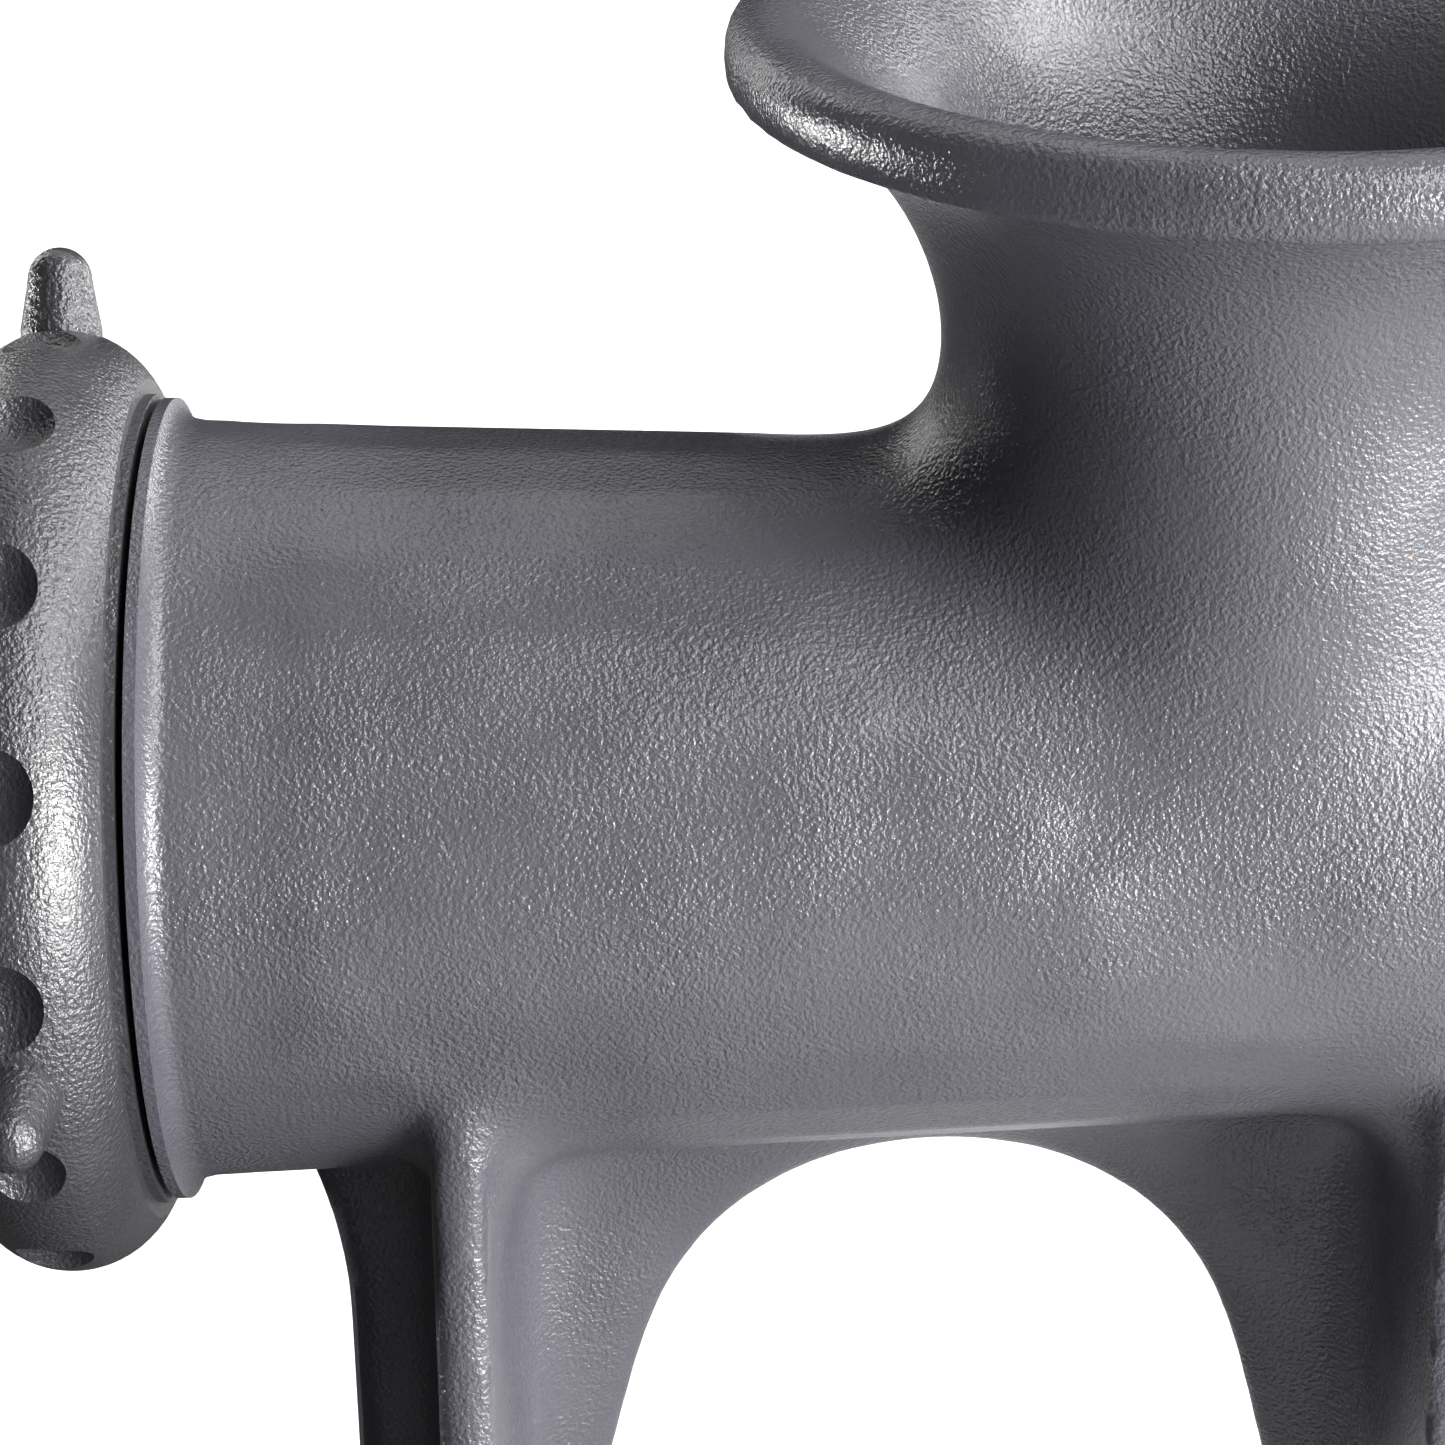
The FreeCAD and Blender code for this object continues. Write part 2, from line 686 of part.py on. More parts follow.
def ring_dimples(body, middle):
    """Round scoops in the front shoulder of the ring, evenly spaced."""
    out = "(ring_bulge + dimple_radius - dimple_depth)"
    rise = "sqrt(ring_bulge^2 - dimple_forward^2)"
    place_x = f"({RING_CENTRE} - dimple_forward / ring_bulge * {out})"
    place_z = f"({middle} + {rise} / ring_bulge * {out})"
    ball = outline(new_sketch(body, "XZ_Plane", (place_x, place_z, "0")), [
        ("0", "-dimple_radius"),
        ("dimple_radius", "0", "dimple_radius", 1),
        ("0", "dimple_radius", "dimple_radius", 1),
    ])
    scoop = turned(body, ball, "Groove", "V_Axis")
    doc.recompute()
    repeated(body, scoop, (plane_of(body, "X_Axis"), [""]), "lug_count * dimples_per_lug")


def ring_lugs(body):
    """Tapered round-ended pegs, each midway between two dimples."""
    sketch = new_sketch(body, "XZ_Plane", (RING_CENTRE, "0", "0"))
    sketch.AttachmentOffset.Rotation = FreeCAD.Rotation(FreeCAD.Vector(1, 0, 0), 1)
    sketch.setExpression(
        "AttachmentOffset.Rotation.Angle", bound("180 / (lug_count * dimples_per_lug)")
    )
    root = f"({RING_RADIUS} - 0.4 * ring_bulge)"
    outline(sketch, [
        ("0", root),
        ("lug_base_radius", root),
        ("lug_base_radius", RING_RADIUS),
        ("lug_tip_radius", f"{RING_RADIUS} + lug_length - lug_tip_radius"),
        ("0", f"{RING_RADIUS} + lug_length", "lug_tip_radius", 1),
    ])
    lug = turned(body, sketch, axis="V_Axis")
    doc.recompute()
    repeated(body, lug, (plane_of(body, "X_Axis"), [""]), "lug_count")


def cutting_plate():
    """Drilled plate with a centre bearing for the stud and a notch for the key."""
    body = new_body("cutting_plate")
    face = ("0", "0", PLATE_FRONT)
    padded(body, disc(new_sketch(body, "YZ_Plane", face), "0", "0", "plate_diameter / 2"), "plate_thickness")
    through = "3 * plate_thickness"
    bearing = disc(new_sketch(body, "YZ_Plane", face), "0", "0", "stud_radius + running_clearance")
    padded(body, bearing, through, middle=True, kind="Pocket")
    notch = disc(new_sketch(body, "YZ_Plane", face), "0", POCKET_RADIUS, "key_radius + pocket_clearance")
    padded(body, notch, through, middle=True, kind="Pocket")
    for circle in range(int(number("plate_hole_rings"))):
        spot = f"(plate_hole_start + {circle} * plate_hole_gap)"
        sketch = disc(new_sketch(body, "YZ_Plane", face), spot, "0", "plate_hole / 2")
        hole = padded(body, sketch, through, middle=True, kind="Pocket")
        doc.recompute()
        repeated(body, hole, (plane_of(body, "X_Axis"), [""]), f"6 * ({circle} + 1)")


def square(sketch, side):
    """A square about the sketch's origin."""
    half = f"({side} / 2)"
    corners = [(-1, -1), (1, -1), (1, 1), (-1, 1)]
    return outline(sketch, [(f"{a} * {half}", f"{b} * {half}") for a, b in corners])


def knife():
    """Four-armed knife whose flat faces run against the plate."""
    body = new_body("knife")
    face = ("0", "0", KNIFE_FRONT)
    padded(body, disc(new_sketch(body, "YZ_Plane", face), "0", "0", "knife_hub_radius"), "knife_thickness")
    blade = outline(new_sketch(body, "XY_Plane"), [
        (KNIFE_FRONT, "-knife_width / 2"),
        (KNIFE_FRONT, "knife_width / 2"),
        (KNIFE_REAR, "knife_width / 2 - knife_bevel"),
        (KNIFE_REAR, "-knife_width / 2"),
    ])
    arm = padded(body, blade, KNIFE_REACH)
    doc.recompute()
    repeated(body, arm, (plane_of(body, "X_Axis"), [""]), "4")
    socket = square(new_sketch(body, "YZ_Plane", face), "(stud_square + 2 * socket_clearance)")
    padded(body, socket, "3 * knife_thickness", middle=True, kind="Pocket")


def knife_stud():
    """Stud in the auger's nose: square under the knife, round in the plate."""
    body = new_body("knife_stud")
    profile = outline(new_sketch(body, "XZ_Plane"), [
        (f"{PLATE_FRONT} + 10 * face_clearance", "0"),
        (f"{PLATE_FRONT} + 10 * face_clearance", "stud_radius"),
        (KNIFE_FRONT, "stud_radius"),
        (KNIFE_FRONT, "stud_thread_radius"),
        (f"{KNIFE_REAR} + stud_depth", "stud_thread_radius"),
        (f"{KNIFE_REAR} + stud_depth", "0"),
    ])
    turned(body, profile)
    shank = square(new_sketch(body, "YZ_Plane", ("0", "0", KNIFE_FRONT)), "stud_square")
    padded(body, shank, "knife_thickness")


def auger():
    """Feed screw: tapered core, one helical flight, journal and square drive end."""
    piece = doc.addObject("Part::Feature", "auger")
    piece.Label = "auger"
    front, shoulder = number(KNIFE_REAR), number(SHOULDER)
    along = FreeCAD.Vector(1, 0, 0)

    def at(place):
        return FreeCAD.Vector(place, 0, 0)

    def rod(radius, near, far):
        return Part.makeCylinder(radius, far - near, at(near), along)

    core = Part.makeCone(
        number("auger_front_core"), number("auger_rear_core"), shoulder - front, at(front), along
    )
    thick = number("flight_thickness")
    start = front + thick
    length = shoulder - start - thick
    inner, outer = 0.7 * number("auger_front_core"), number(BARREL_FRONT)
    helix = Part.makeHelix(number("flight_pitch"), length, inner)
    blade = Part.makePolygon([
        FreeCAD.Vector(inner, 0, -thick / 2),
        FreeCAD.Vector(outer, 0, -thick / 2),
        FreeCAD.Vector(outer, 0, thick / 2),
        FreeCAD.Vector(inner, 0, thick / 2),
        FreeCAD.Vector(inner, 0, -thick / 2),
    ])
    flight = Part.Wire(helix).makePipeShell([blade], True, True)
    flight.rotate(FreeCAD.Vector(), FreeCAD.Vector(0, 1, 0), 90)
    flight.translate(at(start))
    gap = number("flight_clearance")
    envelope = Part.makeCone(
        number(BORE_FRONT) - gap,
        number(BORE_REAR) - gap,
        number(WALL_INNER) - number(CHAMBER_REAR),
        at(number(CHAMBER_REAR)),
        along,
    )
    flight = flight.common(envelope)
    drive_near, drive_far = number(HUB_NEAR), number(SHANK_END)
    journal = rod(number("shank_radius"), shoulder, drive_near)
    side = number("shank_square")
    drive = Part.makeBox(
        drive_far - drive_near, side, side, FreeCAD.Vector(drive_near, -side / 2, -side / 2)
    )
    solid = core.fuse([flight, journal, drive]).removeSplitter()
    stud_hole = rod(number("stud_thread_radius"), front, front + number("stud_depth"))
    screw_hole = rod(
        number("screw_radius + running_clearance"), drive_far - number("screw_depth"), drive_far
    )
    piece.Shape = solid.cut([stud_hole, screw_hole])
    piece.Placement = FreeCAD.Placement(
        FreeCAD.Vector(0, 0, number("axis_height")), FreeCAD.Rotation()
    )
    pieces.append(piece)


def crank_arm():
    """Cranked arm: square-holed hub, bent tapered bar and an eye for the grip."""
    body = new_body("crank_arm")
    bar = outline(new_sketch(body, "YZ_Plane", ("0", "0", ARM_NEAR)), [
        ("-arm_root_width / 2", "0"),
        ("arm_root_width / 2", "0"),
        ("arm_tip_radius", "crank_throw"),
        ("0", "crank_throw + arm_tip_radius", "arm_tip_radius", 1),
        ("-arm_tip_radius", "crank_throw", "arm_tip_radius", 1),
    ])
    padded(body, bar, "arm_thickness + arm_offset")
    # Two cuts from the side leave a bar of even thickness with an S bend.
    half = "((arm_bend_end - arm_bend_start) / 2)"
    bend = f"(({half}^2 + (arm_offset / 2)^2) / arm_offset)"
    knee = f"(arm_bend_start + {half})"
    top = "(crank_throw + 2 * arm_tip_radius)"
    near_side = outline(new_sketch(body, "XZ_Plane"), [
        (f"{ARM_NEAR} - arm_offset", "arm_bend_start"),
        (ARM_NEAR, "arm_bend_start"),
        (f"{ARM_NEAR} + arm_offset / 2", knee, bend, -1),
        (TIP_NEAR, "arm_bend_end", bend, 1),
        (TIP_NEAR, top),
        (f"{ARM_NEAR} - arm_offset", top),
    ])
    padded(body, near_side, "4 * arm_root_width", middle=True, kind="Pocket")
    far_side = outline(new_sketch(body, "XZ_Plane"), [
        (f"{TIP_FAR} + arm_offset", "arm_bend_end"),
        (TIP_FAR, "arm_bend_end"),
        (f"{TIP_FAR} - arm_offset / 2", knee, bend, -1),
        (f"{ARM_NEAR} + arm_thickness", "arm_bend_start", bend, 1),
        (f"{ARM_NEAR} + arm_thickness", "-arm_root_width"),
        (f"{TIP_FAR} + arm_offset", "-arm_root_width"),
    ])
    padded(body, far_side, "4 * arm_root_width", middle=True, kind="Pocket")
    doc.recompute()
    shape = body.Tip.Shape
    rounded(
        body,
        "arm_round",
        lambda edge: corner_kind(shape, edge) < 0 and edge.BoundBox.ZMax > number("arm_tip_radius"),
    )
    hub = disc(new_sketch(body, "YZ_Plane", ("0", "0", HUB_NEAR)), "0", "0", "hub_radius")
    padded(body, hub, "hub_length")
    hub_face = new_sketch(body, "YZ_Plane", ("0", "0", HUB_NEAR))
    socket = square(hub_face, "(shank_square + 2 * socket_clearance)")
    padded(body, socket, "3 * hub_length", middle=True, kind="Pocket")
    eye = disc(new_sketch(body, "YZ_Plane", ("0", "0", TIP_NEAR)), "0", "crank_throw", "grip_bolt_radius")
    padded(body, eye, "3 * arm_thickness", middle=True, kind="Pocket")


def wing_screw():
    """Thumb screw that holds the crank on the square end of the auger."""
    body = new_body("wing_screw")
    end = f"({SHANK_END} - screw_depth + 20 * face_clearance)"
    head = f"({WASHER_FAR} + screw_head_length)"
    profile = outline(new_sketch(body, "XZ_Plane"), [
        (end, "0"),
        (end, "screw_radius"),
        (WASHER_FAR, "screw_radius"),
        (WASHER_FAR, "screw_head_radius"),
        (head, "0.75 * screw_head_radius"),
        (head, "0"),
    ])
    turned(body, profile)
    ear = outline(new_sketch(body, "XZ_Plane"), [
        (f"{WASHER_FAR} + 0.2 * screw_head_length", "0.5 * screw_head_radius"),
        (f"{head} - 0.6 * screw_head_length", "wing_span"),
        (f"{head} + 0.4 * screw_head_length", "wing_span", "0.55 * screw_head_length", 1),
        (f"{head} - 0.1 * screw_head_length", "0.5 * screw_head_radius"),
    ])
    wing = padded(body, ear, "wing_thickness", middle=True)
    doc.recompute()
    repeated(body, wing, (plane_of(body, "X_Axis"), [""]), "2")


def wood_grip():
    """Turned wooden grip, free to spin on its bolt."""
    body = new_body("wood_grip", GRIP_HEIGHT)
    bore = "(grip_bolt_radius + running_clearance)"
    seat = f"({GRIP_NEAR} + ferrule_length)"
    swell = f"({GRIP_NEAR} + 0.62 * grip_length)"
    rise = "(grip_radius - grip_end_radius)"
    front = f"(({swell} - {seat})^2 + {rise}^2) / (2 * {rise})"
    nose = "(0.5 * grip_end_radius)"
    tail = f"({GRIP_FAR} - {nose})"
    back = f"(({tail} - {swell})^2 + {rise}^2) / (2 * {rise})"
    profile = outline(new_sketch(body, "XZ_Plane"), [
        (GRIP_NEAR, bore),
        (GRIP_NEAR, "grip_end_radius - ferrule_wall"),
        (seat, "grip_end_radius - ferrule_wall"),
        (seat, "grip_end_radius"),
        (swell, "grip_radius", front, -1),
        (tail, "grip_end_radius", back, -1),
        (GRIP_FAR, f"grip_end_radius - {nose}", nose, -1),
        (GRIP_FAR, bore),
    ])
    turned(body, profile)


def grip_bolt():
    """Slotted bolt that the grip turns on, fixed in the eye of the crank."""
    body = new_body("grip_bolt", GRIP_HEIGHT)
    end = f"({NUT_NEAR} - 10 * face_clearance)"
    crown = f"({BOLT_SEAT} + bolt_head_height)"
    dome = "((bolt_head_height^2 + bolt_head_radius^2) / (2 * bolt_head_height))"
    profile = outline(new_sketch(body, "XZ_Plane"), [
        (end, "0"),
        (end, "grip_bolt_radius"),
        (BOLT_SEAT, "grip_bolt_radius"),
        (BOLT_SEAT, "bolt_head_radius"),
        (crown, "0", dome, -1),
    ])
    turned(body, profile)
    slot = outline(new_sketch(body, "XZ_Plane"), [
        (f"{crown} - 0.45 * bolt_head_height", "-0.15 * bolt_head_radius"),
        (f"{crown} + 1", "-0.15 * bolt_head_radius"),
        (f"{crown} + 1", "0.15 * bolt_head_radius"),
        (f"{crown} - 0.45 * bolt_head_height", "0.15 * bolt_head_radius"),
    ])
    padded(body, slot, "4 * bolt_head_radius", middle=True, kind="Pocket")


def grip_nut():
    """Hexagon nut behind the eye of the crank."""
    body = new_body("grip_nut", GRIP_HEIGHT)
    corner = "(grip_nut_flats / 2 / cos(30))"
    face = ("0", "0", NUT_NEAR)
    hexagon = outline(new_sketch(body, "YZ_Plane", face), [
        (f"{corner} * cos({60 * k})", f"{corner} * sin({60 * k})") for k in range(6)
    ])
    padded(body, hexagon, "grip_nut_height")
    hole = disc(new_sketch(body, "YZ_Plane", face), "0", "0", "grip_bolt_radius")
    padded(body, hole, "3 * grip_nut_height", middle=True, kind="Pocket")


body_casting()
ring_piece("rear_bush", WALL_INNER, BOSS_END, "shank_radius + running_clearance", BUSH_RADIUS)
plate_key()
ring_nut()
cutting_plate()
knife()
knife_stud()
auger()
ring_piece(
    "thrust_washer",
    f"{SHOULDER} + face_clearance",
    f"{SHOULDER} + face_clearance + thrust_thickness",
    "shank_radius + running_clearance",
    "thrust_radius",
)
crank_arm()
ring_piece("crank_washer", HUB_FAR, WASHER_FAR, "screw_radius + thread_clearance", "clamp_washer_radius")
wing_screw()
ring_piece(
    "grip_inner_washer",
    TIP_FAR,
    f"{TIP_FAR} + grip_washer_thickness",
    "grip_bolt_radius",
    "grip_washer_radius",
    GRIP_HEIGHT,
)
wood_grip()
ring_piece(
    "grip_ferrule",
    GRIP_NEAR,
    f"{GRIP_NEAR} + ferrule_length",
    "grip_end_radius - ferrule_wall",
    "grip_end_radius",
    GRIP_HEIGHT,
)
ring_piece(
    "grip_outer_washer",
    f"{BOLT_SEAT} - grip_washer_thickness",
    BOLT_SEAT,
    "grip_bolt_radius",
    "grip_washer_radius",
    GRIP_HEIGHT,
)
grip_bolt()
ring_piece(
    "grip_lock_washer",
    f"{TIP_NEAR} - grip_washer_thickness",
    TIP_NEAR,
    "grip_bolt_radius",
    "0.62 * grip_nut_flats",
    GRIP_HEIGHT,
)
grip_nut()
doc.recompute()

for item in doc.Objects:
    if "Invalid" in item.State or "Error" in item.State:
        raise RuntimeError(f"{item.Name} of {item.Label} did not rebuild: {item.State}")
os.makedirs("parts", exist_ok=True)
for piece in pieces:
    if piece.Shape.isNull() or not piece.Shape.isValid():
        raise RuntimeError(f"{piece.Label} has no sound shape")
    piece.Shape.exportStep(f"parts/{piece.Label}.step")
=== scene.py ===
"""Dresses the hand crank meat grinder: the finish of every piece, and the stage that it stands on."""

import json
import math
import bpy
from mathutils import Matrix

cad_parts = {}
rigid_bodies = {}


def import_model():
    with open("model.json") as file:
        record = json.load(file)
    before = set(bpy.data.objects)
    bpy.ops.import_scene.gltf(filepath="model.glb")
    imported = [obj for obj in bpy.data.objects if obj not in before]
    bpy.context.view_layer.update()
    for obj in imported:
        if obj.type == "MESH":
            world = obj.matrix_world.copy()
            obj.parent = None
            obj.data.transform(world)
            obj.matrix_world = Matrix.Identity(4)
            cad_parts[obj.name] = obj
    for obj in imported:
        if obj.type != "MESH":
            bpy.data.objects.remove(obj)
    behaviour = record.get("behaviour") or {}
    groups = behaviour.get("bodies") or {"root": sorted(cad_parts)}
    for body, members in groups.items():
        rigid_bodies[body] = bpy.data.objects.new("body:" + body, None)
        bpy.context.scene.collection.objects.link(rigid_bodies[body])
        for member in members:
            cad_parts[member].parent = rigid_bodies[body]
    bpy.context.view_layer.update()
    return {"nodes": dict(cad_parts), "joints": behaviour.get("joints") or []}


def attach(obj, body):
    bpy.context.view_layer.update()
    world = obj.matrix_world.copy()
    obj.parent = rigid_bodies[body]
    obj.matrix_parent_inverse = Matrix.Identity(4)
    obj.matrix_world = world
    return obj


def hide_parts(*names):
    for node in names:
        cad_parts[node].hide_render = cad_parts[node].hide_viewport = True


bl_info = {
    "name": "Meat grinder dressing",
    "version": (1, 0, 0),
    "blender": (4, 5, 0),
    "location": "View3D > Sidebar > Grinder",
    "description": "Finishes the pieces of a hand crank meat grinder and sets up its stage",
    "category": "Object",
}

import bmesh
import bpy
from bpy.props import FloatProperty, FloatVectorProperty, PointerProperty
from mathutils import Matrix, Vector

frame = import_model()


def joint_height(name):
    """Height of a joint's axis."""
    return next(joint["pos_m"][2] for joint in frame["joints"] if joint["name"] == name)


AXIS_HEIGHT = joint_height("crank_turn")
GRIP_HEIGHT = joint_height("grip_spin")

# Places on the casting, in metres.
HOPPER_X = 0.0318  # axis of the hopper
THROAT_HEIGHT = AXIS_HEIGHT + 0.02  # the inside of the hopper is above this
NECK_BLEND_TOP = AXIS_HEIGHT + 0.05  # the neck's root is blended up to here
BORE_REACH = 0.036  # skin that faces the axis from nearer than this is inside the barrel
NOSE_WALL = 0.0372  # a radius between the inside and the outside of the nose
LEG_BLEND_FOOT = 0.012  # the legs are blended from here up
LEG_BLEND_HALF = 0.0487  # the legs' ridges lie further from the middle than this and stay crisp
SOLE_HEIGHT = 0.004  # skin below this keeps to the solid, so the feet stand flat

# Inside corners that are blended: the sharpest angle left alone, and how often the skin is relaxed.
NECK_ANGLE, NECK_PASSES = 0.10, 70
LEG_ANGLE, LEG_PASSES = 0.12, 100
BLEND_RINGS = 8  # rings of skin on each side of a corner that are relaxed with it

# Evening out of the whole skin: each round shrinks it a little and swells it again.
EVEN_ROUNDS, EVEN_SHRINK, EVEN_SWELL = 3, 0.5, -0.45

MERGE_DISTANCE = 1e-6
CREASE_ANGLE = math.radians(38.0)

NOISE_LOW, NOISE_HIGH = 0.3, 0.7  # a noise texture mostly keeps between these
GREY_CASTING = {"roughness": 0.25, "sheen": 0.6, "depth": 1.0}
RING_IRON = {"roughness": 0.30, "sheen": 0.8, "depth": 1.2}
BRONZE = {"marks": 4500.0, "blotches": 160.0, "dull": 0.55, "rough": (0.26, 0.42), "depth": 0.000012}
PLATING = {"marks": 5000.0, "blotches": 220.0, "dull": 0.8, "rough": (0.22, 0.4), "depth": 0.000008}
PITH = (0.0, 0.004, GRIP_HEIGHT - 0.012)  # middle of the wood's rings, beside the grip's axis

FLOOR_SIZE = 12.0
BOUNCE_FROM, BOUNCE_TO = -0.10, 0.02  # the floor's bounce grows between these places along X
MIDDLE = (0.0, 0.0, 0.14)  # what most lights face
LIGHTS = {  # width, height, beam in degrees, place, target
    "key": (0.8, 0.45, 180.0, (0.90, -0.70, 0.25), MIDDLE),
    "upper": (0.5, 0.5, 180.0, (0.52, -0.52, 1.02), MIDDLE),
    "side": (0.5, 0.5, 180.0, (0.80, 0.14, 0.95), MIDDLE),
    "rim": (0.3, 0.9, 180.0, (-0.62, 0.85, 0.5), MIDDLE),
    "top": (0.8, 0.8, 180.0, (0.0, 0.58, 1.14), MIDDLE),
    "back": (0.5, 0.5, 180.0, (0.95, 0.95, 0.35), (0.03, 0.0, 0.25)),
    "outlet": (0.25, 0.25, 30.0, (-0.85, 0.28, 0.06), (-0.10, 0.0, 0.12)),
}

# The camera, fitted to the photograph: place in metres, angles in degrees.
EYE_PLACE = (-0.0285, -0.38565, 0.33636)
EYE_TURN, EYE_DIP, EYE_ROLL = -0.72, 24.86, -0.71


def colour(name, description, default):
    """A colour that the panel offers."""
    return FloatVectorProperty(
        name=name, description=description, default=default, subtype="COLOR", size=3, min=0.0, max=1.0
    )


def length(name, description, default):
    """A length that the panel offers."""
    return FloatProperty(
        name=name, description=description, default=default, unit="LENGTH", precision=6
    )


def power(name, description, default):
    """A light's power that the panel offers."""
    return FloatProperty(name=name, description=description, default=default, unit="POWER")


def share(name, description, default):
    """A plain factor that the panel offers."""
    return FloatProperty(name=name, description=description, default=default, min=0.0)


class CastingSettings(bpy.types.PropertyGroup):
    """The cast skin of the body, the crank arm and the ring."""

    body_colour: colour("Body colour", "Grey of the painted casting", (0.074, 0.0725, 0.086))
    ring_colour: colour("Ring colour", "Dark iron of the ring nut", (0.034, 0.033, 0.037))
    rust_colour: colour("Rust colour", "Specks where rust has come through", (0.22, 0.115, 0.06))
    grain: length("Grain", "Size of one grain of the moulding sand", 0.0005)
    grain_depth: length("Grain depth", "Depth of the sand's mark", 0.00024)
    skin_step: length("Skin step", "Spacing of the casting's skin points", 0.00145)
    nose_cut: length("Nose cut", "Where the turned nose ends and the cast skin starts", -0.0755)


class MetalSettings(bpy.types.PropertyGroup):
    """The machined and plated pieces."""

    steel_colour: colour("Steel", "Ground steel of the plate and knife", (0.56, 0.56, 0.58))
    plated_colour: colour("Plating", "Dull plating of the screws and washers", (0.60, 0.60, 0.61))
    tin_colour: colour("Tin", "Tinned skin of the auger", (0.54, 0.54, 0.55))
    bronze_colour: colour("Bronze", "Bush and ferrule", (0.50, 0.32, 0.14))
    fibre_colour: colour("Fibre", "Thrust washer", (0.20, 0.045, 0.028))


class GripSettings(bpy.types.PropertyGroup):
    """The turned wooden grip."""

    pale_colour: colour("Pale wood", "Early wood of the grip", (0.36, 0.19, 0.08))
    dark_colour: colour("Dark wood", "Late wood of the grip", (0.20, 0.09, 0.033))


class StageSettings(bpy.types.PropertyGroup):
    """The floor, the lights and the camera."""

    floor_colour: colour("Floor", "Pale floor", (0.86, 0.86, 0.87))
    floor_glow: share("Floor glow", "Whitening of floor and background, for the camera only", 0.45)
    dim_bounce: share("Dim bounce", "Share of its colour that the floor's left gives back", 0.05)
    full_bounce: share("Full bounce", "Share of its colour that the floor's right gives back", 0.75)
    ambient: share("Ambient", "Light from all round", 0.02)
    key_power: power("Key", "Low, wide light at the front right", 34.0)
    upper_power: power("Upper", "Soft light high at the right", 10.0)
    side_power: power("Side", "Soft light at the crank end", 13.0)
    rim_power: power("Rim", "Soft light at the back left", 3.2)
    top_power: power("Top", "Wide light overhead", 3.2)
    back_power: power("Back", "Low light behind the hopper, at the right", 12.0)
    outlet_power: power("Outlet", "Narrow light on the drilled plate", 0.3)
    lens: FloatProperty(name="Lens", description="Focal length of the camera in mm", default=99.65)


def feed(tree, socket, value):
    """Links a socket to another one, or sets its value."""
    if isinstance(value, bpy.types.NodeSocket):
        tree.links.new(value, socket)
    else:
        socket.default_value = value


def put(tree, kind, wires=None, **settings):
    """Adds a node with its settings and feeds the inputs named in wires."""
    node = tree.nodes.new(kind)
    for name, value in settings.items():
        setattr(node, name, value)
    for socket, value in (wires or {}).items():
        feed(tree, node.inputs[socket], value)
    return node


def times(tree, first, second):
    """Product of two values or sockets."""
    return put(tree, "ShaderNodeMath", {0: first, 1: second}, operation="MULTIPLY").outputs[0]


def plus(tree, first, second):
    """Sum of two values or sockets."""
    return put(tree, "ShaderNodeMath", {0: first, 1: second}, operation="ADD").outputs[0]


def spread(tree, value, low, high, new_low=0.0, new_high=1.0):
    """Maps a value from one range to another, held at its ends."""
    wires = {"Value": value, "From Min": low, "From Max": high, "To Min": new_low, "To Max": new_high}
    return put(tree, "ShaderNodeMapRange", wires).outputs["Result"]


def noise(tree, place, scale, detail, **wires):
    """Values of a noise texture."""
    wires = {"Vector": place, "Scale": scale, "Detail": detail, **wires}
    return put(tree, "ShaderNodeTexNoise", wires).outputs["Fac"]


def shaded(tone, factor):
    """A darker or paler copy of a colour."""
    return [part * factor for part in tone]


def blend_colour(tree, amount, first, second):
    """A mix of two colours, each a socket or three numbers."""
    node = put(tree, "ShaderNodeMix", {"Factor": amount}, data_type="RGBA")
    # the colour sockets share their names with others, so they go by number
    for socket, value in ((node.inputs[6], first), (node.inputs[7], second)):
        feed(tree, socket, value if isinstance(value, bpy.types.NodeSocket) else (*value, 1.0))
    return node.outputs[2]


def new_group(name, inputs, outputs):
    """Starts a shader node group; returns its tree, its incoming sockets and its closing ones."""
    tree = bpy.data.node_groups.new(name, "ShaderNodeTree")
    for socket, kind in inputs.items():
        tree.interface.new_socket(name=socket, in_out="INPUT", socket_type=kind)
    for socket, kind in outputs.items():
        tree.interface.new_socket(name=socket, in_out="OUTPUT", socket_type=kind)
    given = tree.nodes.new("NodeGroupInput").outputs
    return tree, given, tree.nodes.new("NodeGroupOutput").inputs


def place_group(tree, group, wires):
    """Places a shader node group in a material."""
    return put(tree, "ShaderNodeGroup", wires, node_tree=bpy.data.node_groups[group]).outputs


def cast_skin_group():
    """The skin that moulding sand leaves: grains, a slow waviness, mottling and rust specks."""
    tree, given, result = new_group(
        "cast_skin",
        {"Place": "NodeSocketVector", "Cells per metre": "NodeSocketFloat"},
        {"Height": "NodeSocketFloat", "Mottle": "NodeSocketFloat", "Specks": "NodeSocketFloat"},
    )
    place = given["Place"]
    grit = noise(tree, place, given["Cells per metre"], 2.0)
    wave = noise(tree, place, 55.0, 1.0)
    patchy = times(tree, grit, spread(tree, wave, 0.32, 0.68, 0.6, 1.3))
    feed(tree, result["Height"], plus(tree, patchy, times(tree, wave, 1.5)))
    feed(tree, result["Mottle"], noise(tree, place, 38.0, 5.0, Roughness=0.6))
    dots = put(tree, "ShaderNodeTexVoronoi", {"Vector": place, "Scale": 210.0}).outputs
    small = spread(tree, dots["Distance"], 0.03, 0.06, 1.0, 0.0)
    pick = put(tree, "ShaderNodeSeparateColor", {"Color": dots["Color"]}).outputs["Red"]
    few = spread(tree, pick, 0.93, 0.95)
    feed(tree, result["Specks"], times(tree, small, few))


